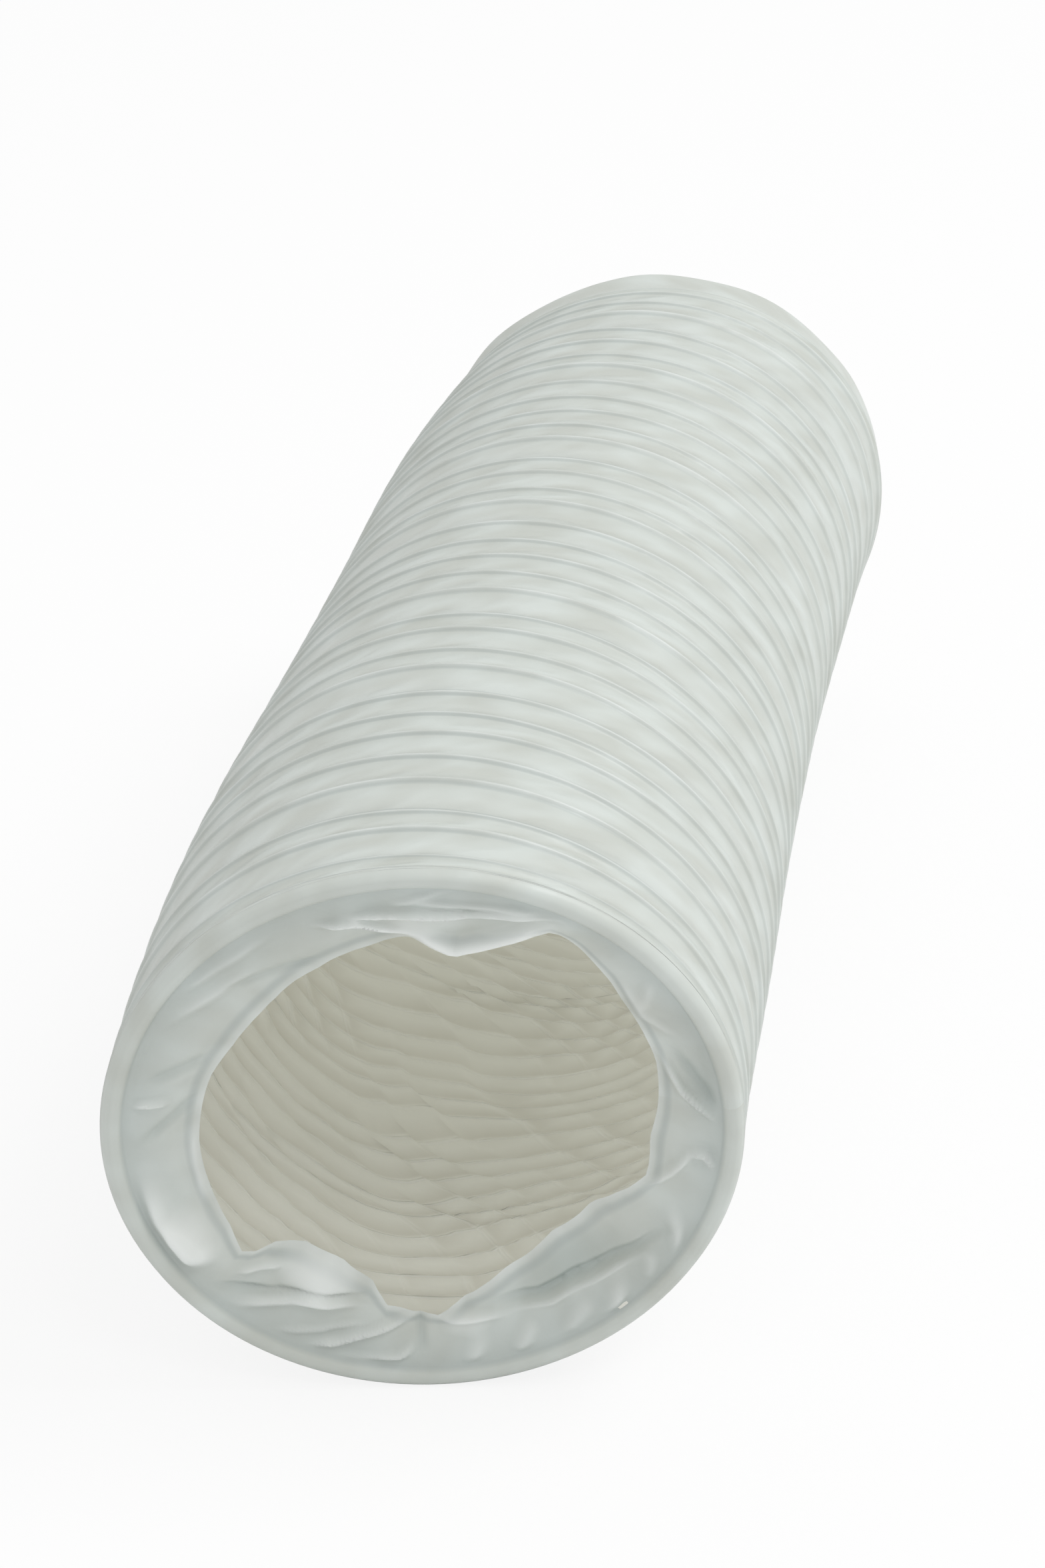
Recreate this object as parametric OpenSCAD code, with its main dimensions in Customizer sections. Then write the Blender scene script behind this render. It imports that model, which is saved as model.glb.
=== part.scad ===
/* [Hose] */
// Clear bore inside the turns of wire
bore_d = 101; // [60:0.5:200]
// Turns of the spring wire from end to end
turns = 34; // [16:1:60]
// Mean distance between two turns, as the hose lies
pitch = 7.6; // [5:0.05:30]
// How far the turns stray from their even places, as a share of the pitch
stray = 0.13; // [0:0.01:0.15]
// How far the first and the last turn close up on their neighbours, as a share of the pitch
closing = 0.7; // [0:0.05:0.7]

/* [Film] */
// Thickness of the laminated film
film_t = 0.5; // [0.3:0.05:1.5]
// Depth that the slack film sinks in between two turns
sag = 1.6; // [0.5:0.1:4]
// Length of the smooth cuff beyond the wire at each end
cuff_l = 6; // [3:0.5:40]

/* [Wire] */
// Diameter of the spring wire
wire_d = 1.2; // [0.6:0.1:2.4]
// Clearance between the wire and the film folded over it
wire_gap = 0.15; // [0.1:0.05:0.5]

/* [Lie] */
// Sideways bow of the hose along the floor
bow = 4.2; // [0:0.2:20]
// Angle that the near mouth is turned aside from the run of the hose
near_turn = 12.5; // [0:0.5:20]
// Angle that the far mouth is turned aside, the same way
far_turn = 10.5; // [0:0.5:20]

/* [Hidden] */

// Facets round one turn, with a flat side at the bottom
facets = 24;
// Sides of the wire's section
wire_sides = 4;
// Plain film between the cuff and the cut end of the wire
run_out = 3;
// How fast the two waves of the stray run, in degrees a turn
stray_waves = [200, 83];
// Step from the flats of the ridges down to the cuff, and from the cuff's bore to the film's
cuff_step = 0.3;
// Length that each cuff is let into the film
cuff_lap = 0.3;

film_l = (turns - 2 * closing) * pitch + 2 * run_out;
last = turns * facets;
flat_in = cos(180 / facets);

// The wire's corners clear the bore at mid facet
wire_r = (bore_d + wire_d) / 2 / flat_in;

// The film lies over the wire, clear of it on both slopes of the ridge
film_slope = atan(2 * sag / pitch);
ridge_in_r = wire_r + (wire_d / 2 + wire_gap) / cos(film_slope);
ridge_r = ridge_in_r + film_t;
cuff_r = ridge_r * flat_in - cuff_step;
cuff_in_r = cuff_r - film_t;

// The axis runs level, and the flats of the ridges lie on the floor
axis_z = ridge_r * flat_in;

// The mouths' rims lie equally far from the origin
function rim_reach(turn) = cuff_l * cos(turn) + cuff_r * sin(turn);
middle_y = (rim_reach(near_turn) - rim_reach(far_turn)) / 2;

// Place of the axis in plan, and the way a turn faces, a share t of the way along
function middle(t) = [bow * (pow(2 * t - 1, 4) - 0.5), middle_y + (t - 0.5) * film_l];
function facing(t) = -(t < 0.5 ? near_turn : far_turn) * pow(2 * t - 1, 2);

// Point at radius r and at an angle round the axis, a share t of the way along
function around(t, r, angle) =
    let (plan = middle(t) + r * cos(angle) * [cos(facing(t)), -sin(facing(t))])
    [plan.x, plan.y, axis_z + r * sin(angle)];

// Pitches that the wire has run after u turns, if no turn strays
function evenly(u) = u - closing * (min(u, 1) + max(0, u - turns + 1));

// Share of the way along, at i facets along the wire, and its angle round the axis
function share(i) =
    let (
        u = i / facets,
        wander = stray * min(1, u, turns - u) * (sin(stray_waves[0] * u) + sin(stray_waves[1] * u))
    )
    (run_out + pitch * (evenly(u) + wander)) / film_l;
function turned(i) = 360 * (i + 0.5) / facets;
function on_helix(i, r) = around(share(i), r, turned(i));

// The strip of film runs from a ridge to the valley and to the next turn's ridge
last_valley = last - facets;
valley_0 = last + 1;
near_0 = valley_0 + last_valley + 1;
far_0 = near_0 + facets;
skin_n = far_0 + facets;
function near(j) = near_0 + j % facets;
function far(j) = far_0 + j % facets;

// The sag follows the gap between two turns, so that the slopes stay alike, and it grows
// from nothing at each end of the wire
function gap_share(i, r) = norm(on_helix(i + facets, r) - on_helix(i, r)) / pitch;
function sag_share(i) = min(1, i / facets, (last_valley - i) / facets);

// Points of one face of the film: ridge, valley, near edge and far edge
function skin(ridge, edge) = concat(
    [for (i = [0:last]) on_helix(i, ridge)],
    [for (i = [0:last_valley])
        let (r = ridge - sag * sag_share(i) * gap_share(i, ridge))
        (on_helix(i, r) + on_helix(i + facets, r)) / 2],
    [for (j = [0:facets - 1]) around(0, edge, turned(j))],
    [for (j = [0:facets - 1]) around(1, edge, turned(j))]
);

function quad(a, b, c, d) = [[a, b, c], [a, c, d]];
function fan(hub, rim) = [for (k = [0:len(rim) - 2]) [hub, rim[k], rim[k + 1]]];

skin_faces = concat(
    [for (i = [0:last_valley - 1]) each quad(i, i + 1, valley_0 + i + 1, valley_0 + i)],
    [for (i = [0:last_valley - 1])
        each quad(valley_0 + i, valley_0 + i + 1, i + facets + 1, i + facets)],
    [for (j = [0:facets - 2]) each quad(near(j), near(j + 1), j + 1, j)],
    fan(facets - 1, [near(facets - 1), near(0), 0, valley_0, facets]),
    fan(last_valley + 1, [far(1), far(0), last, valley_0 + last_valley, last_valley]),
    [for (j = [1:facets - 1])
        each quad(last_valley + j, last_valley + j + 1, far(j + 1), far(j))]
);

module corrugated_film() {
    inner_faces = [for (f = skin_faces) [f[0] + skin_n, f[2] + skin_n, f[1] + skin_n]];
    near_rim = [for (j = [0:facets - 1])
        each quad(near(j + 1), near(j), near(j) + skin_n, near(j + 1) + skin_n)];
    far_rim = [for (j = [0:facets - 1])
        each quad(far(j), far(j + 1), far(j + 1) + skin_n, far(j) + skin_n)];
    polyhedron(
        points = concat(skin(ridge_r, ridge_r), skin(ridge_in_r, cuff_in_r - cuff_step)),
        faces = concat(skin_faces, inner_faces, near_rim, far_rim)
    );
}

// Smooth end of the hose, past the last turn of wire
module cuff(t, way) {
    foot = middle(t);
    translate([foot.x, foot.y, axis_z])
        rotate([-90 * way, 0, -facing(t)])
            translate([0, 0, -cuff_lap])
                difference() {
                    cylinder(r = cuff_r, h = cuff_l + cuff_lap, $fn = 96);
                    translate([0, 0, -cuff_l])
                        cylinder(r = cuff_in_r, h = 3 * cuff_l, $fn = 96);
                }
}

module film_wall() {
    color("#cfd4cd") {
        corrugated_film();
        cuff(0, -1);
        cuff(1, 1);
    }
}

// Spring wire wound under the ridges of the film
module wire_helix() {
    corner = 360 / wire_sides;
    points = [for (i = [0:last], s = [0:wire_sides - 1])
        let (
            side = corner * (s + 0.5),
            here = on_helix(i, wire_r + wire_d / 2 * cos(side)),
            aside = wire_d / 2 * sin(side)
        )
        here + aside * [sin(facing(share(i))), cos(facing(share(i))), 0]];
    sides = [for (i = [0:last - 1], s = [0:wire_sides - 1])
        let (p = wire_sides * i + s, q = wire_sides * i + (s + 1) % wire_sides)
        each quad(p, p + wire_sides, q + wire_sides, q)];
    start_cap = [[for (s = [0:wire_sides - 1]) s]];
    end_cap = [[for (s = [wire_sides - 1:-1:0]) wire_sides * last + s]];
    color("#9aa0a0")
        polyhedron(points = points, faces = concat(sides, start_cap, end_cap));
}

film_wall();
wire_helix();
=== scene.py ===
import math

import bpy
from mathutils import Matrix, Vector, noise


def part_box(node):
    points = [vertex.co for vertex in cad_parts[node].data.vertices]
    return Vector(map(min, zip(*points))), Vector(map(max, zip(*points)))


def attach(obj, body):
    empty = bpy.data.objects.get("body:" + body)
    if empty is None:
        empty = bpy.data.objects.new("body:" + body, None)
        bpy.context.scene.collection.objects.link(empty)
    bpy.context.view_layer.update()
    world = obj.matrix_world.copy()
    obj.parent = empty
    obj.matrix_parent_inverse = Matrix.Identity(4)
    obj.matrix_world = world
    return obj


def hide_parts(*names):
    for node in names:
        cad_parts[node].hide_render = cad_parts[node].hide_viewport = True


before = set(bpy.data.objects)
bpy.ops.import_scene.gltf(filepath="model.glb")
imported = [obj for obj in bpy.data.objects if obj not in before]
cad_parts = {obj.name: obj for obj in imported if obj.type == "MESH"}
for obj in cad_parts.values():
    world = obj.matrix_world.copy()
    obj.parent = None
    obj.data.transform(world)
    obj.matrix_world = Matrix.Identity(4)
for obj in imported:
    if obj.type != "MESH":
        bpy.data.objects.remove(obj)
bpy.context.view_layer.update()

MM = 0.001

# Lie of the hose and its spring wire, as the frame holds them
TURNS = 34
PITCH = 7.6 * MM
STRAY = 0.13
STRAY_WAVES = (200, 83)
CLOSING = 0.7
RUN_OUT = 3 * MM
CUFF_L = 6 * MM
CUFF_R = 52.1 * MM
BOW = 4.2 * MM
NEAR_TURN = 12.5
FAR_TURN = 10.5
FIRST_ANGLE = 7.5

FILM_L = (TURNS - 2 * CLOSING) * PITCH + 2 * RUN_OUT
AXIS_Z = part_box("film_wall")[1].z / 2

# The camera stands where the photograph was taken from
CAMERA_PLACE = Vector((90.7, -501, 350.7)) * MM
CAMERA_DOWN = 30.73
CAMERA_LEFT = 10.85
FOCAL_SHARE = 1.895


def sine(degrees):
    return math.sin(math.radians(degrees))


def cosine(degrees):
    return math.cos(math.radians(degrees))


def mix(low, high, share):
    return low + (high - low) * share


def smooth_step(low, high, value):
    share = min(1, max(0, (value - low) / (high - low)))
    return share * share * (3 - 2 * share)


# Lie of the hose

def rim_reach(turn):
    return CUFF_L * cosine(turn) + CUFF_R * sine(turn)


MIDDLE_Y = (rim_reach(NEAR_TURN) - rim_reach(FAR_TURN)) / 2


def middle(t):
    return Vector((BOW * ((2 * t - 1) ** 4 - 0.5), MIDDLE_Y + (t - 0.5) * FILM_L, AXIS_Z))


def facing(t):
    return -(NEAR_TURN if t < 0.5 else FAR_TURN) * (2 * t - 1) ** 2


def station(u):
    """Share of the film's length at which the wire lies after u turns."""
    u = min(TURNS, max(0, u))
    evenly = u - CLOSING * (min(u, 1) + max(0, u - TURNS + 1))
    wander = STRAY * min(1, u, TURNS - u) * sum(sine(wave * u) for wave in STRAY_WAVES)
    return (RUN_OUT + PITCH * (evenly + wander)) / FILM_L


def directions(t):
    """The way to the side, along and up at a share of the film's length."""
    turn = facing(t)
    return (Vector((cosine(turn), -sine(turn), 0)), Vector((sine(turn), cosine(turn), 0)),
            Vector((0, 0, 1)))


def around(t, radius, angle, ahead=0):
    """Point at a radius and an angle round the axis, moved ahead along the axis."""
    side, along, up = directions(t)
    return middle(t) + radius * (cosine(angle) * side + sine(angle) * up) + ahead * along


# Outside of the film: beads over the wire, and slack bands between them

COLUMNS = 144
BEAD_R = AXIS_Z
SPREAD = 1.3 * MM
NEAR_SPREAD = 0.22
SPREAD_REACH = 0.17
FAR_SPREAD = (0.6, 0.85)
TOP_SPREAD = 0.4
FULL_GAP = 2.4 * MM

# Rows across a band as distances from the wire behind or before them, and their fall
FAR_SIDE = ((0, 0), (0.35 * MM, 0.18 * MM), (0.7 * MM, 0.48 * MM))
NEAR_SIDE = ((1.3 * MM, 0.68 * MM), (0.6 * MM, 0.52 * MM), (0.3 * MM, 0.15 * MM))
BAND_FALL = 0.75 * MM
OUTER_ROWS = len(FAR_SIDE) + 1 + len(NEAR_SIDE)


def spread(t, angle):
    """How far the soft hose spreads, most of all sideways, where it sags under its own weight."""
    near = math.exp(-((t - NEAR_SPREAD) / SPREAD_REACH) ** 2)
    sideways = cosine(angle) ** 2
    reach = sideways if sine(angle) < 0 else mix(TOP_SPREAD, 1, sideways)
    return SPREAD * reach * (near + 0.85 * smooth_step(*FAR_SPREAD, t))


def outer_row(gap, row):
    """Distance from the wire and fall from the bead's top of a row of a band."""
    squeeze = min(1, gap / FULL_GAP)
    if row < len(FAR_SIDE):
        away, fall = FAR_SIDE[row]
        return away * squeeze, fall * squeeze ** 3
    if row == len(FAR_SIDE):
        return gap / 2, BAND_FALL * squeeze ** 3
    away, fall = NEAR_SIDE[row - OUTER_ROWS]
    return gap - away * squeeze, fall * squeeze ** 3


def outer_share(u, row):
    """Share of the band's width at which a row lies."""
    gap = (station(u + 1) - station(u)) * FILM_L
    return outer_row(gap, row)[0] / gap if gap and row < OUTER_ROWS else row / OUTER_ROWS


def outer_point(u, row):
    """Point of the outside, u turns along the strip of film and a row across it."""
    near, far = station(u), station(u + 1)
    gap = (far - near) * FILM_L
    away, fall = outer_row(gap, row)
    share = away / gap if gap else 0
    t = mix(near, far, share)
    angle = FIRST_ANGLE + 360 * u
    slack = math.sin(math.pi * share) * min(1, gap / PITCH)
    pucker = noise.noise(Vector((u * 42 + 2.4 * share, 5 * share, 0.4 * u)))
    swell = noise.noise(Vector((u * 13, 3.3 + share, u * 2.1)))
    radius = BEAD_R - fall + slack * (0.35 * pucker + 0.4 * swell) * MM
    return around(t, radius + spread(t, angle), angle)


# Inside of the film: slack pleats that overlap like scales

INNER_R = 50.45 * MM
INNER_ROWS = 6
PLEAT_DEPTH = 2 * MM
PLEATS_ALONG = 1.4
LIP_PHASES = (0.7, 0.7)
SLANT_ALONG = 0.8
SLANT_ROUND = 24


def scale_height(phase):
    """Height of a pleat that rises slowly away from the mouth and drops behind its crest."""
    place = phase % 1
    return place / 0.8 if place < 0.8 else (1 - place) / 0.2


def pleat_phases(u, share):
    """Phases of the pleats along the wire and of those aslant to it."""
    where = around(mix(station(u), station(u + 1), share), INNER_R, FIRST_ANGLE + 360 * u)
    drift = 1.2 * noise.noise(where * 26) + 0.16 * noise.noise(where * 70)
    slant_drift = 2.6 * noise.noise(where * 20 + Vector((0, 5, 0)))
    slant = SLANT_ALONG * (u + share) + SLANT_ROUND * u + slant_drift
    return PLEATS_ALONG * (u + share) + drift, slant


def inner_point(u, row):
    """Point of the inside, u turns along the strip of film and a row across it."""
    share = row / INNER_ROWS
    near, far = station(u), station(u + 1)
    gap = (far - near) * FILM_L
    t = mix(near, far, share)
    angle = FIRST_ANGLE + 360 * u
    where = around(t, INNER_R, angle)
    along, slant = pleat_phases(u, share)
    strength = 0.6 + 0.7 * noise.noise(where * 35 + Vector((3, 0, 0)))
    slant_strength = 0.5 + 1.1 * noise.noise(where * 36 + Vector((9, 9, 0)))
    height = max(0.05, strength * scale_height(along), slant_strength * scale_height(slant))
    room = min(1, max(0, min(u + share, TURNS - u - share)), gap / FULL_GAP)
    return around(t, INNER_R - room * PLEAT_DEPTH * height, angle)


# Film turned in at the near mouth. A place on it is an angle round the mouth and a radius in
# millimetres from its middle.

RIM_T = RUN_OUT / FILM_L
RIM_ROLL = 1.65 * MM
RIM_ROWS = 5
LIP_ROWS = 12
LIP_ROOT = BEAD_R - 2 * RIM_ROLL
LIP_CUTS = 2
LIP_THIN = 0.3 * MM
LIP_THICK = 1.3 * MM
LIP_SLOPE = 0.45
SHARP_EDGE = 75
LIP_EDGE = (
    (18, 40), (37, 40.6), (51, 43), (62, 44.5), (66, 42.3), (73, 36.8), (81, 33.5), (93, 36.2),
    (105, 34.8), (117, 33.9), (135, 33.2), (155, 34), (165, 35.7), (184, 37.2), (198, 37.8),
    (212, 38.9), (221, 40.8), (225, 36), (233, 33.3), (244, 33.2), (255, 35.7), (260, 39.4),
    (273, 40.6), (280, 37.7), (294, 34.9), (310, 33.2), (326, 33.8), (337, 37.1), (343, 38.9),
    (354, 37.7),
)

# Each fold: the places that it runs through, its height towards the viewer and its half width
FOLDS = (
    (((112, 44), (104, 42.4), (92, 38.2)), 2.2, 0.8),
    (((100, 41.5), (90, 37.2), (81, 33.6), (73, 36.9), (66, 42.6), (60, 45.5)), 3, 1.8),
    (((106, 44), (101, 43.5), (85, 43), (69, 46), (62, 48)), 2, 0.7),
    (((94, 45.5), (63, 49)), 1, 0.7),
    (((97, 44.5), (81, 50.5)), 0.7, 0.8),
    (((140, 43.5), (113, 35)), -0.8, 1),
    (((150, 46), (128, 41)), 1, 1.2),
    (((143, 48), (120, 46)), 0.7, 1),
    (((171, 48), (172, 41)), 1.6, 0.7),
    (((182, 46.5), (171, 37)), -0.9, 0.9),
    (((167, 46.5), (158, 36.5)), -0.9, 1.1),
    (((178, 38), (190, 38.5), (205, 40)), 1.2, 1.2),
    (((188, 46.5), (200, 47), (211, 46), (218, 43.5)), 2, 2.2),
    (((218, 48.5), (232, 43), (243, 39.5), (258, 38.5)), -1.3, 0.6),
    (((225, 48.2), (233, 44.4), (244, 40.8), (255, 39.6)), 1.3, 0.9),
    (((226, 46), (238, 41.5), (248, 38)), 0.9, 0.9),
    (((222, 44), (226, 40), (231, 37.5)), 1.4, 0.9),
    (((242, 49.5), (251, 46.5), (261, 42.5), (267, 40.5)), 1.6, 0.7),
    (((246, 50), (256, 48.5), (264, 47), (268, 45)), 1.2, 0.7),
    (((235, 49), (247, 45), (257, 42)), 0.8, 0.6),
    (((268, 39.5), (269, 47)), -0.9, 0.8),
    (((271, 41), (280, 41), (289, 42)), 1.3, 0.8),
    (((280, 39.3), (298, 41.2), (312, 41.7), (324, 43.3), (335, 46)), -1.3, 0.75),
    (((286, 41.4), (300, 42.6), (314, 43), (325, 44.6)), 1.2, 0.8),
    (((340, 43.5), (331, 49), (329, 50.5)), 1.3, 1.3),
    (((327, 45), (321, 49)), 0.8, 1.2),
    (((318, 44.5), (311, 49), (309, 50.5)), 1.4, 1.5),
    (((309, 44.5), (299, 49)), 0.8, 1.5),
    (((295, 44), (288, 49)), 0.9, 1.4),
    (((283, 43.5), (279, 49), (278, 50.5)), 1, 1.6),
    (((21, 41), (10, 43), (3, 48.5)), 1.8, 0.7),
    (((354, 44), (354, 46.6), (351, 50)), 1.6, 0.7),
    (((339, 39), (347, 42), (355, 45)), 1.3, 0.8),
    (((24, 43), (12, 46), (4, 50)), -0.8, 0.9),
    (((45, 44), (33, 42), (24, 46)), 0.8, 0.9),
    (((33, 42), (40, 48)), 0.7, 1.1),
)

# Each puff: its middle place, its half length and half width, and its height
PUFFS = (
    ((241, 37), 9, 6, 2.2),
    ((208, 44), 8, 5, 1.6),
    ((279, 42), 5, 3, 1),
    ((308, 38.5), 15, 5, -1.4),
    ((10, 46), 7, 4, -0.6),
    ((88, 41), 10, 4, 0.8),
)


def flat(angle, radius):
    return Vector((cosine(angle), sine(angle))) * radius


def lip_edge_radius(angle):
    angle %= 360
    first, last = LIP_EDGE[0], LIP_EDGE[-1]
    stops = [(last[0] - 360, last[1]), *LIP_EDGE, (first[0] + 360, first[1])]
    for (low, low_r), (high, high_r) in zip(stops, stops[1:]):
        if low <= angle <= high:
            return mix(low_r, high_r, (angle - low) / (high - low)) * MM


def on_path(path, place):
    """Distance from a place to a path of straight stretches, and how far along the path it is."""
    least, along = math.inf, 0
    for index, (start, end) in enumerate(zip(path, path[1:])):
        run = end - start
        share = min(1, max(0, (place - start).dot(run) / run.length_squared))
        distance = (place - start - share * run).length
        if distance < least:
            least, along = distance, (index + share) / (len(path) - 1)
    return least, along


def ridge(path, height, width, place):
    """Height of a fold at a place, which fades towards the fold's ends."""
    distance, along = on_path(path, place)
    fade = mix(0.15, 1, smooth_step(0, 0.3, min(along, 1 - along)))
    return height * fade * math.exp(-(distance / width) ** 2)


FOLD_PATHS = [([flat(*place) for place in path], height, width) for path, height, width in FOLDS]


def fold_height(place):
    """Height of the folds and puffs at a place in the mouth, in millimetres."""
    total = sum(ridge(*fold, place) for fold in FOLD_PATHS)
    for (angle, radius), half_length, half_width, height in PUFFS:
        offset = place - flat(angle, radius)
        across = offset.dot(flat(angle, 1)) / half_width
        along = offset.dot(flat(angle + 90, 1)) / half_length
        total += height * max(0, 1 - across * across - along * along) ** 1.5
    return total


def rim_fade(place):
    return smooth_step(LIP_ROOT / MM, 47, place.length)


def lip_height(place):
    """Height of the turned-in film towards the viewer, from its even slope."""
    spot = Vector((place.x, place.y, 0))
    crumple = 0.8 * noise.noise(spot / 8) + 0.2 * noise.noise(spot / 3)
    return (fold_height(place) + crumple) * rim_fade(place) * MM


def lip_point(share, angle, behind=0):
    radius = mix(LIP_ROOT, lip_edge_radius(angle), share)
    return around(RIM_T, radius, angle, LIP_SLOPE * (LIP_ROOT - radius) + behind)


def lip_back_point(share, angle):
    return lip_point(share, angle, mix(LIP_THIN, LIP_THICK, math.sin(math.pi * share)))


def rim_point(share, angle):
    """The film's roll over the front of the first turn."""
    turn = 180 * share
    radius = BEAD_R - RIM_ROLL * (1 - cosine(turn))
    return around(RIM_T, radius, angle, -RIM_ROLL * sine(turn))


# Cuff at the far end, outside and inside

CUFF_ROWS = 5
CUFF_T = 0.5 * MM
CUFF_SPREAD = 0.5


def cuff_point(start_r, end_r, row, angle):
    share = row / CUFF_ROWS
    wire_end = station(TURNS)
    length = (1 - wire_end) * FILM_L + CUFF_L
    t = min(1, wire_end + share * length / FILM_L)
    ahead = (wire_end - t) * FILM_L + share * length
    wave = noise.noise(Vector((4 * cosine(angle), 4 * sine(angle), 1.5 * share)))
    radius = mix(start_r, end_r, smooth_step(0, 0.3, share)) + 0.5 * MM * share * wave
    return around(t, radius, angle, ahead)


def cuff_outside(row, angle):
    return cuff_point(BEAD_R + spread(1, angle), CUFF_R + CUFF_SPREAD * spread(1, angle), row, angle)


# The film is a flat sheet wrapped round. One column of it runs from the lip's edge over the
# outside to the far end and back through the inside.

def column_of_points(column):
    part = column / COLUMNS
    angle = FIRST_ANGLE + 360 * part
    points = [lip_point(1 - row / LIP_ROWS, angle) for row in range(LIP_ROWS)]
    points += [rim_point(1 - row / RIM_ROWS, angle) for row in range(RIM_ROWS)]
    for turn in range(-1, TURNS):
        points += [outer_point(turn + part, row) for row in range(OUTER_ROWS)]
    points += [cuff_outside(row, angle) for row in range(CUFF_ROWS + 1)]
    points += [cuff_point(INNER_R, CUFF_R - CUFF_T, row, angle) for row in range(CUFF_ROWS, -1, -1)]
    for turn in range(TURNS - 1, -2, -1):
        points += [inner_point(turn + part, row) for row in range(INNER_ROWS - 1, -1, -1)]
    return points + [lip_back_point(row / LIP_ROWS, angle) for row in range(1, LIP_ROWS)]


FIRST_OUTER = LIP_ROWS + RIM_ROWS
FIRST_CUFF = FIRST_OUTER + OUTER_ROWS * (TURNS + 1)
FIRST_INNER = FIRST_CUFF + 2 * (CUFF_ROWS + 1)
FIRST_BACK = FIRST_INNER + INNER_ROWS * (TURNS + 1)


def paint_places(mesh, rows):
    """Writes the places on the strip, and the pleats' phases, that the materials follow."""
    strip = mesh.uv_layers.active
    strip.name = "strip"
    pleats = mesh.uv_layers.new(name="pleats")
    for polygon in mesh.polygons:
        column, row = divmod(polygon.index, rows)
        polygon.material_index = 0 if row < FIRST_CUFF + CUFF_ROWS else 1
        for corner in polygon.loop_indices:
            corner_column, corner_row = divmod(mesh.loops[corner].vertex_index, rows + 1)
            part = corner_column / COLUMNS
            place = (part - 3, 0.8 * corner_row / FIRST_OUTER)
            phases = LIP_PHASES
            if FIRST_OUTER <= row < FIRST_CUFF:
                turn, start = divmod(row - FIRST_OUTER, OUTER_ROWS)
                u = part + turn - 1
                place = (u, outer_share(u, start + corner_row - row))
            elif FIRST_CUFF <= row < FIRST_INNER:
                place = (part + TURNS, 0.1 + 0.8 * abs(corner_row - FIRST_CUFF - CUFF_ROWS) / CUFF_ROWS)
            elif FIRST_INNER <= row < FIRST_BACK:
                turn, start = divmod(row + 1 - FIRST_INNER, INNER_ROWS)
                share = (INNER_ROWS - 1 - start + row + 1 - corner_row) / INNER_ROWS
                place = (part + TURNS - 1 - turn, share)
                phases = pleat_phases(*place)
            strip.data[corner].uv = place
            pleats.data[corner].uv = phases


def wrapped_sheet():
    """A grid wrapped into the hose, with its seams welded."""
    columns = [column_of_points(column) for column in range(COLUMNS + 1)]
    rows = len(columns[0])
    bpy.ops.object.select_all(action="DESELECT")
    bpy.ops.mesh.primitive_grid_add(x_subdivisions=rows, y_subdivisions=COLUMNS, size=1)
    piece = bpy.context.object
    piece.name = piece.data.name = "film"
    for index, vertex in enumerate(piece.data.vertices):
        column, row = divmod(index, rows + 1)
        vertex.co = columns[column][row % rows]
    paint_places(piece.data, rows)
    bpy.ops.object.mode_set(mode="EDIT")
    bpy.ops.mesh.select_all(action="SELECT")
    bpy.ops.mesh.remove_doubles(threshold=0.01 * MM)
    bpy.ops.mesh.normals_make_consistent(inside=False)
    bpy.ops.object.mode_set(mode="OBJECT")
    return piece


def in_mouth(point):
    """Place of a point in the mouth, in millimetres, and how far it lies inside the rim."""
    side, along, up = directions(RIM_T)
    offset = point - middle(RIM_T)
    return Vector((offset.dot(side), offset.dot(up))) / MM, offset.dot(along)


def fold_lip(piece):
    """Gives the turned-in film finer faces, then presses its folds into both sides."""
    mesh = piece.data

    def in_lip(point):
        place, depth = in_mouth(point)
        gap = (LIP_ROOT / MM - place.length) * MM
        return gap > 0 and depth < LIP_SLOPE * gap + 1.5 * LIP_THICK

    bpy.ops.object.mode_set(mode="EDIT")
    bpy.ops.mesh.select_all(action="DESELECT")
    bpy.ops.object.mode_set(mode="OBJECT")
    for polygon in mesh.polygons:
        polygon.select = in_lip(polygon.center)
    bpy.ops.object.mode_set(mode="EDIT")
    bpy.ops.mesh.subdivide(number_cuts=LIP_CUTS)
    bpy.ops.object.mode_set(mode="OBJECT")
    along = directions(RIM_T)[1]
    # Heights of the folds, kept for the painted highlight and shade on the lip
    fold_heights = mesh.attributes.new("folds", "FLOAT", "POINT")
    for vertex in mesh.vertices:
        if in_lip(vertex.co):
            place = in_mouth(vertex.co)[0]
            fold_heights.data[vertex.index].value = fold_height(place) * rim_fade(place)
            vertex.co -= lip_height(place) * along


def film():
    piece = wrapped_sheet()
    fold_lip(piece)
    bpy.ops.object.shade_smooth_by_angle(angle=math.radians(SHARP_EDGE))
    piece.data.materials.append(outside_film())
    piece.data.materials.append(inside_film())
    return piece


# Materials

class Value:
    """A socket of a finish that can be used in sums."""

    def __init__(self, finish, socket):
        self.finish = finish
        self.socket = socket

    def __add__(self, other):
        return self.finish.math("ADD", self, other)

    def __sub__(self, other):
        return self.finish.math("SUBTRACT", self, other)

    def __rsub__(self, other):
        return self.finish.math("SUBTRACT", other, self)

    def __mul__(self, other):
        return self.finish.math("MULTIPLY", self, other)

    def __abs__(self):
        return self.finish.math("ABSOLUTE", self)

    __radd__ = __add__
    __rmul__ = __mul__


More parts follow.
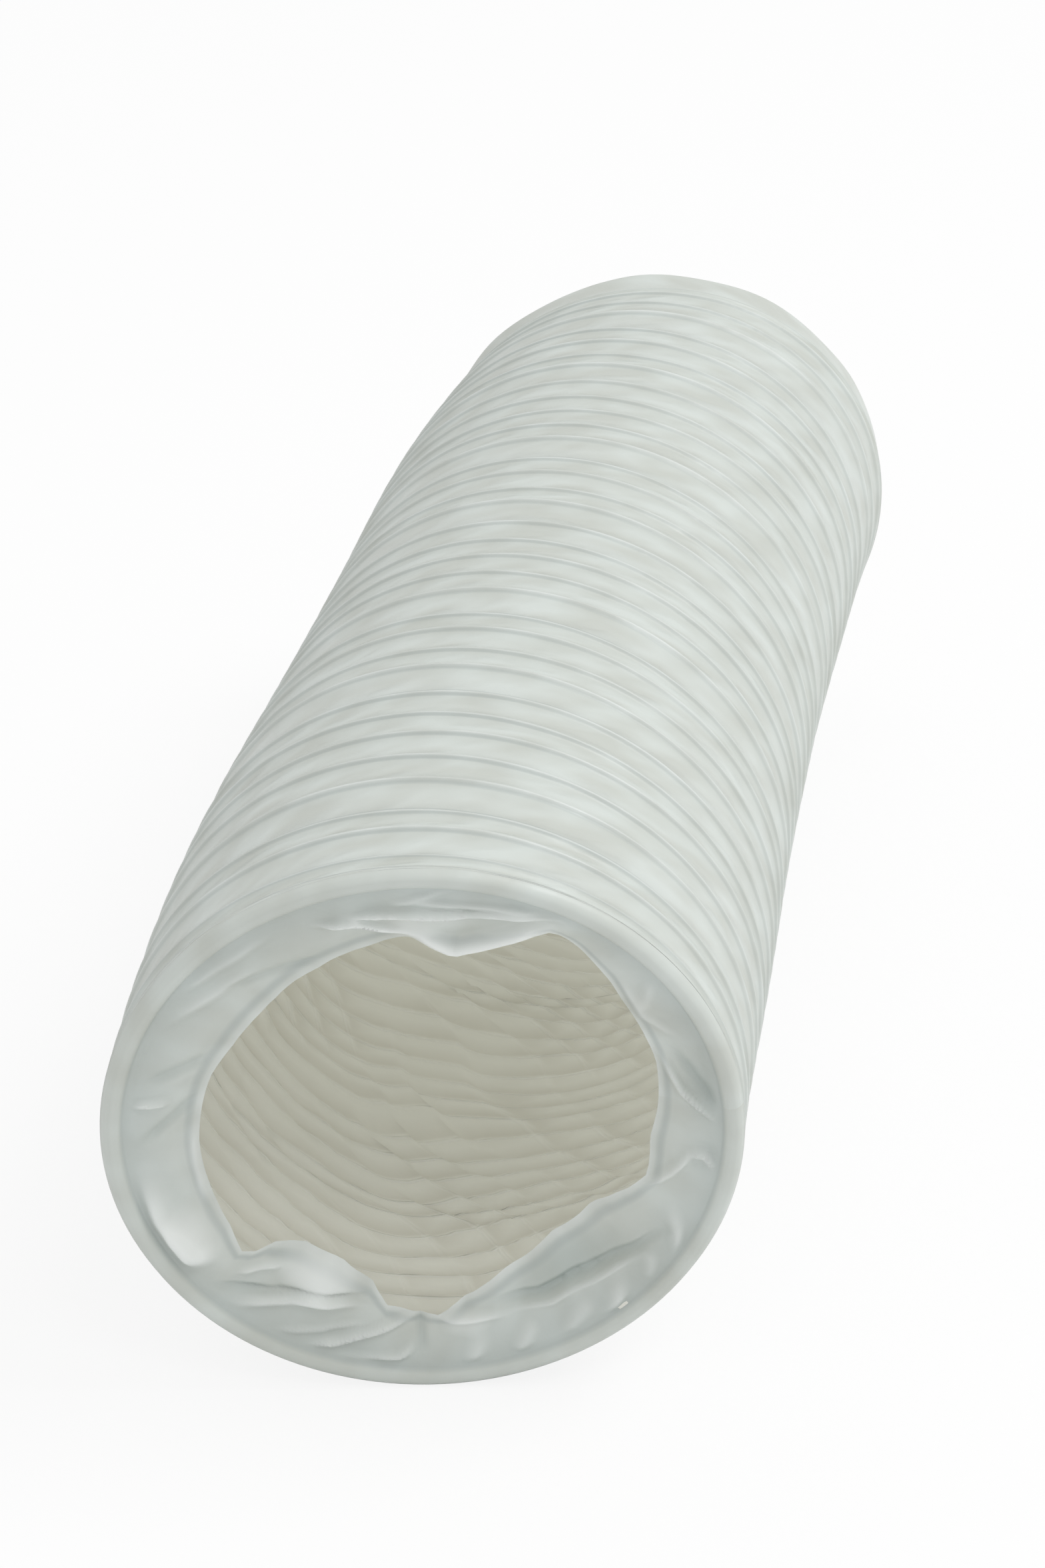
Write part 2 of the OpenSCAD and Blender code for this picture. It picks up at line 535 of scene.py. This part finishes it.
class Finish:
    """A material with its own shader, built up by nodes."""

    def __init__(self, name):
        self.material = bpy.data.materials.new(name)
        self.material.use_nodes = True
        self.tree = self.material.node_tree
        self.shader = self.tree.nodes["Principled BSDF"]

    def connect(self, socket, value):
        if isinstance(value, Value):
            self.tree.links.new(value.socket, socket)
        else:
            socket.default_value = value

    def node(self, kind, settings, inputs, output=0):
        node = self.tree.nodes.new("ShaderNode" + kind)
        for name, setting in settings.items():
            setattr(node, name, setting)
        for name, value in inputs.items():
            self.connect(node.inputs[name], value)
        return Value(self, node.outputs[output])

    def set(self, **inputs):
        for name, value in inputs.items():
            self.connect(self.shader.inputs[name.replace("_", " ")], value)

    def math(self, operation, *values):
        return self.node("Math", {"operation": operation}, dict(enumerate(values)))

    def place(self):
        return self.node("TexCoord", {}, {}, "Object")

    def noise(self, vector, scale, detail=2):
        return self.node("TexNoise", {}, {"Vector": vector, "Scale": scale, "Detail": detail})

    def blend(self, share, low, high):
        return self.node("Mix", {"data_type": "RGBA"}, {"Factor": share, "A": low, "B": high}, "Result")

    def level(self, value, low, high):
        return self.node("MapRange", {}, {"Value": value, "From Min": low, "From Max": high})

    def bump(self, height):
        """Relief of a height in metres."""
        return self.node("Bump", {}, {"Height": height, "Distance": 1, "Strength": 1})


def outside_film():
    """Pale satin film, soft patches aslant to the wire, and painted shade and highlights at the beads and
    the lip.
    """
    film = Finish("film_outside")
    place = film.place()
    strip = film.node("UVMap", {"uv_map": "strip"}, {})
    turns = film.node("SeparateXYZ", {}, {0: strip}, 0)
    across = film.node("SeparateXYZ", {}, {0: strip}, 1)
    arc = turns * (math.tau * BEAD_R / MM)
    width = across * (PITCH / MM)
    aslant = film.node("CombineXYZ", {}, {0: arc * 0.09 + width * 0.1, 1: width * 0.16})
    patches = film.level(film.noise(aslant, 1, 1.5), 0.34, 0.68)
    crinkle = film.noise(place, 420, 3)
    wide = film.level(turns, TURNS - 0.5, TURNS - 1)
    band = 4 * across * (1 - across) * wide
    fades = film.level(film.noise(place, 16, 1), 0.25, 0.6) * 0.5 + 0.5
    # Painted shade: a thin dark line on the near and far side of each bead and a faint darkening over
    # each band's near half, weaker at the hose's sides
    line = film.level(abs(across - 0.925), 0.06, 0.015)
    far_line = film.level(abs(across - 0.085), 0.045, 0.01)
    sideways = abs(film.node("SeparateXYZ", {}, {0: place}, 0))
    near_shade = (line * 0.29 + film.level(across, 0.5, 0.9) * 0.07) * fades
    near_shade = near_shade * (film.level(sideways, 0.052, 0.02) * 0.6 + 0.4)
    shade = (near_shade + far_line * 0.32) * wide
    # Painted highlight along the top of each bead
    gleam = film.level(abs(across - 0.5), 0.44, 0.49) * (patches * 0.35 + 0.2)
    folds = film.node("Attribute", {"attribute_name": "folds"}, {}, "Fac")
    # Painted shade where the lip meets the roll of the rim
    root = film.level(across, 0.2, 0.56) * film.level(across, 0.62, 0.575) * film.level(turns, -1.6, -1.9)
    tint = film.blend(patches, (0.555, 0.582, 0.538, 1), (0.635, 0.678, 0.645, 1))
    tint = film.blend(root * 0.35, tint, (0.36, 0.42, 0.42, 1))
    tint = film.blend(gleam, tint, (0.80, 0.83, 0.81, 1))
    tint = film.blend(shade, tint, (0.30, 0.35, 0.35, 1))
    # Painted highlight on the lip's raised folds and painted shade in its sunken ones
    tint = film.blend(film.level(folds, 0.1, 2.6) * 0.85, tint, (0.88, 0.91, 0.89, 1))
    tint = film.blend(film.level(folds, -0.1, -2) * 0.6, tint, (0.36, 0.42, 0.40, 1))
    film.set(
        Base_Color=tint,
        Roughness=film.level(crinkle, 0.2, 0.9) * 0.2 + 0.34,
        Normal=film.bump(patches * band * (0.3 * MM) + crinkle * (0.07 * MM)),
    )
    return film.material


def inside_film():
    """The inner face, with painted shade behind its pleats and a painted highlight on their fine edges,
    and a faint painted glow that stands for the daylight that comes through the film."""
    film = Finish("film_inside")
    place = film.place()
    phases = film.node("UVMap", {"uv_map": "pleats"}, {})
    crinkle = film.noise(place, 300, 3)

    def pleat_shades(axis, fades):
        """Painted shade in the valley behind each pleat, and a painted highlight on its edge."""
        part = film.math("FRACT", film.node("SeparateXYZ", {}, {0: phases}, axis))
        valley = film.math("MAXIMUM", film.level(part, 0.5, 0), film.level(part, 0.82, 0.92))
        edge = film.level(abs(part - 0.77), 0.06, 0.012)
        return valley * fades, edge * fades

    dark, light = pleat_shades(0, film.level(film.noise(place, 40, 1), 0.2, 0.5) * 0.6 + 0.4)
    slant_dark, slant_light = pleat_shades(1, film.level(film.noise(place, 40, 1), 0.42, 0.62))
    shade = film.math("MAXIMUM", dark * 0.75, slant_dark * 0.6)
    gleam = film.math("MAXIMUM", light, slant_light * 0.7)

    # A colour with the pleats' painted shade in their valleys and painted highlight on their edges
    def with_painted_shading(plain, deep, bright):
        return film.blend(gleam * 0.4, film.blend(shade, plain, deep), bright)

    # Painted light: a glow for the daylight through the film, stronger to the right and deeper in the
    # bore
    side = film.level(film.node("SeparateXYZ", {}, {0: place}, 0), 0, 0.05)
    deep = film.level(film.node("SeparateXYZ", {}, {0: place}, 1), -0.13, -0.02)
    daylight = with_painted_shading((0.92, 0.93, 0.85, 1), (0.55, 0.54, 0.47, 1), (1, 1, 0.93, 1))
    film.set(
        Base_Color=with_painted_shading((0.80, 0.80, 0.745, 1), (0.70, 0.685, 0.62, 1), (0.86, 0.86, 0.82, 1)),
        Roughness=film.level(crinkle, 0.2, 0.9) * 0.15 + 0.5,
        Normal=film.bump(crinkle * (0.1 * MM) + gleam * (0.2 * MM)),
        Emission_Color=film.blend(0.36 + side * 0.42 + deep * 0.22, (0, 0, 0, 1), daylight),
        Emission_Strength=0.18,
    )
    return film.material


def spring_wire():
    """Drawn steel wire, a little dull."""
    wire = Finish("spring_wire")
    grain = wire.noise(wire.place(), 900, 2)
    wire.set(
        Base_Color=wire.blend(grain, (0.50, 0.52, 0.53, 1), (0.66, 0.68, 0.69, 1)),
        Metallic=1,
        Roughness=grain * 0.2 + 0.28,
    )
    return wire.material


# Studio: a white sweep, a soft lamp above and behind, and an even sky

def white_floor():
    """White where the camera sees it, but for the hose's shadow."""
    floor = Finish("white_floor")
    floor.set(Base_Color=(0.9, 0.9, 0.9, 1), Roughness=0.9)
    seen = floor.node("LightPath", {}, {}, "Is Camera Ray")
    glow = floor.node("Emission", {}, {"Color": (1, 1, 1, 1), "Strength": 1})
    shaded = Value(floor, floor.shader.outputs[0])
    both = floor.node("MixShader", {}, {0: seen * 0.85, 1: shaded, 2: glow})
    output = floor.tree.nodes["Material Output"]
    floor.connect(output.inputs["Surface"], both)
    return floor.material


def stage():
    bpy.ops.object.select_all(action="DESELECT")
    bpy.ops.mesh.primitive_plane_add(size=12)
    plane = bpy.context.object
    plane.name = "floor"
    plane.data.materials.append(white_floor())


def lamp(name, place, size, power):
    aim = Vector((0, 0, 0.05)) - Vector(place)
    bpy.ops.object.light_add(type="AREA", location=place,
                             rotation=aim.to_track_quat("-Z", "Y").to_euler())
    light = bpy.context.object
    light.name = name
    light.data.size = size
    light.data.energy = power


def sky(strength):
    world = bpy.data.worlds.new("sky")
    bpy.context.scene.world = world
    world.use_nodes = True
    nodes, links = world.node_tree.nodes, world.node_tree.links
    light = nodes["Background"]
    light.inputs["Color"].default_value = (1, 1, 1, 1)
    light.inputs["Strength"].default_value = strength
    white = nodes.new("ShaderNodeBackground")
    white.inputs["Color"].default_value = (1, 1, 1, 1)
    path = nodes.new("ShaderNodeLightPath")
    both = nodes.new("ShaderNodeMixShader")
    links.new(path.outputs["Is Camera Ray"], both.inputs[0])
    links.new(light.outputs[0], both.inputs[1])
    links.new(white.outputs[0], both.inputs[2])
    links.new(both.outputs[0], nodes["World Output"].inputs["Surface"])


def camera():
    bpy.ops.object.camera_add(
        location=CAMERA_PLACE,
        rotation=(math.radians(90 - CAMERA_DOWN), 0, math.radians(CAMERA_LEFT)),
    )
    view = bpy.context.object
    view.data.sensor_fit = "VERTICAL"
    view.data.sensor_height = 24
    view.data.lens = 24 * FOCAL_SHARE
    view.data.clip_start = 0.01
    bpy.context.scene.camera = view


camera()
hose = film()
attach(hose, "root")
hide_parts("film_wall")
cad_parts["wire_helix"].data.materials.clear()
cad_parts["wire_helix"].data.materials.append(spring_wire())
stage()
lamp("back_light", (1.1, 0.35, 1.7), 0.8, 14)
lamp("front_light", (0.35, -0.5, 1.1), 0.25, 1.2)
sky(0.72)
bpy.context.scene.view_settings.view_transform = "Standard"
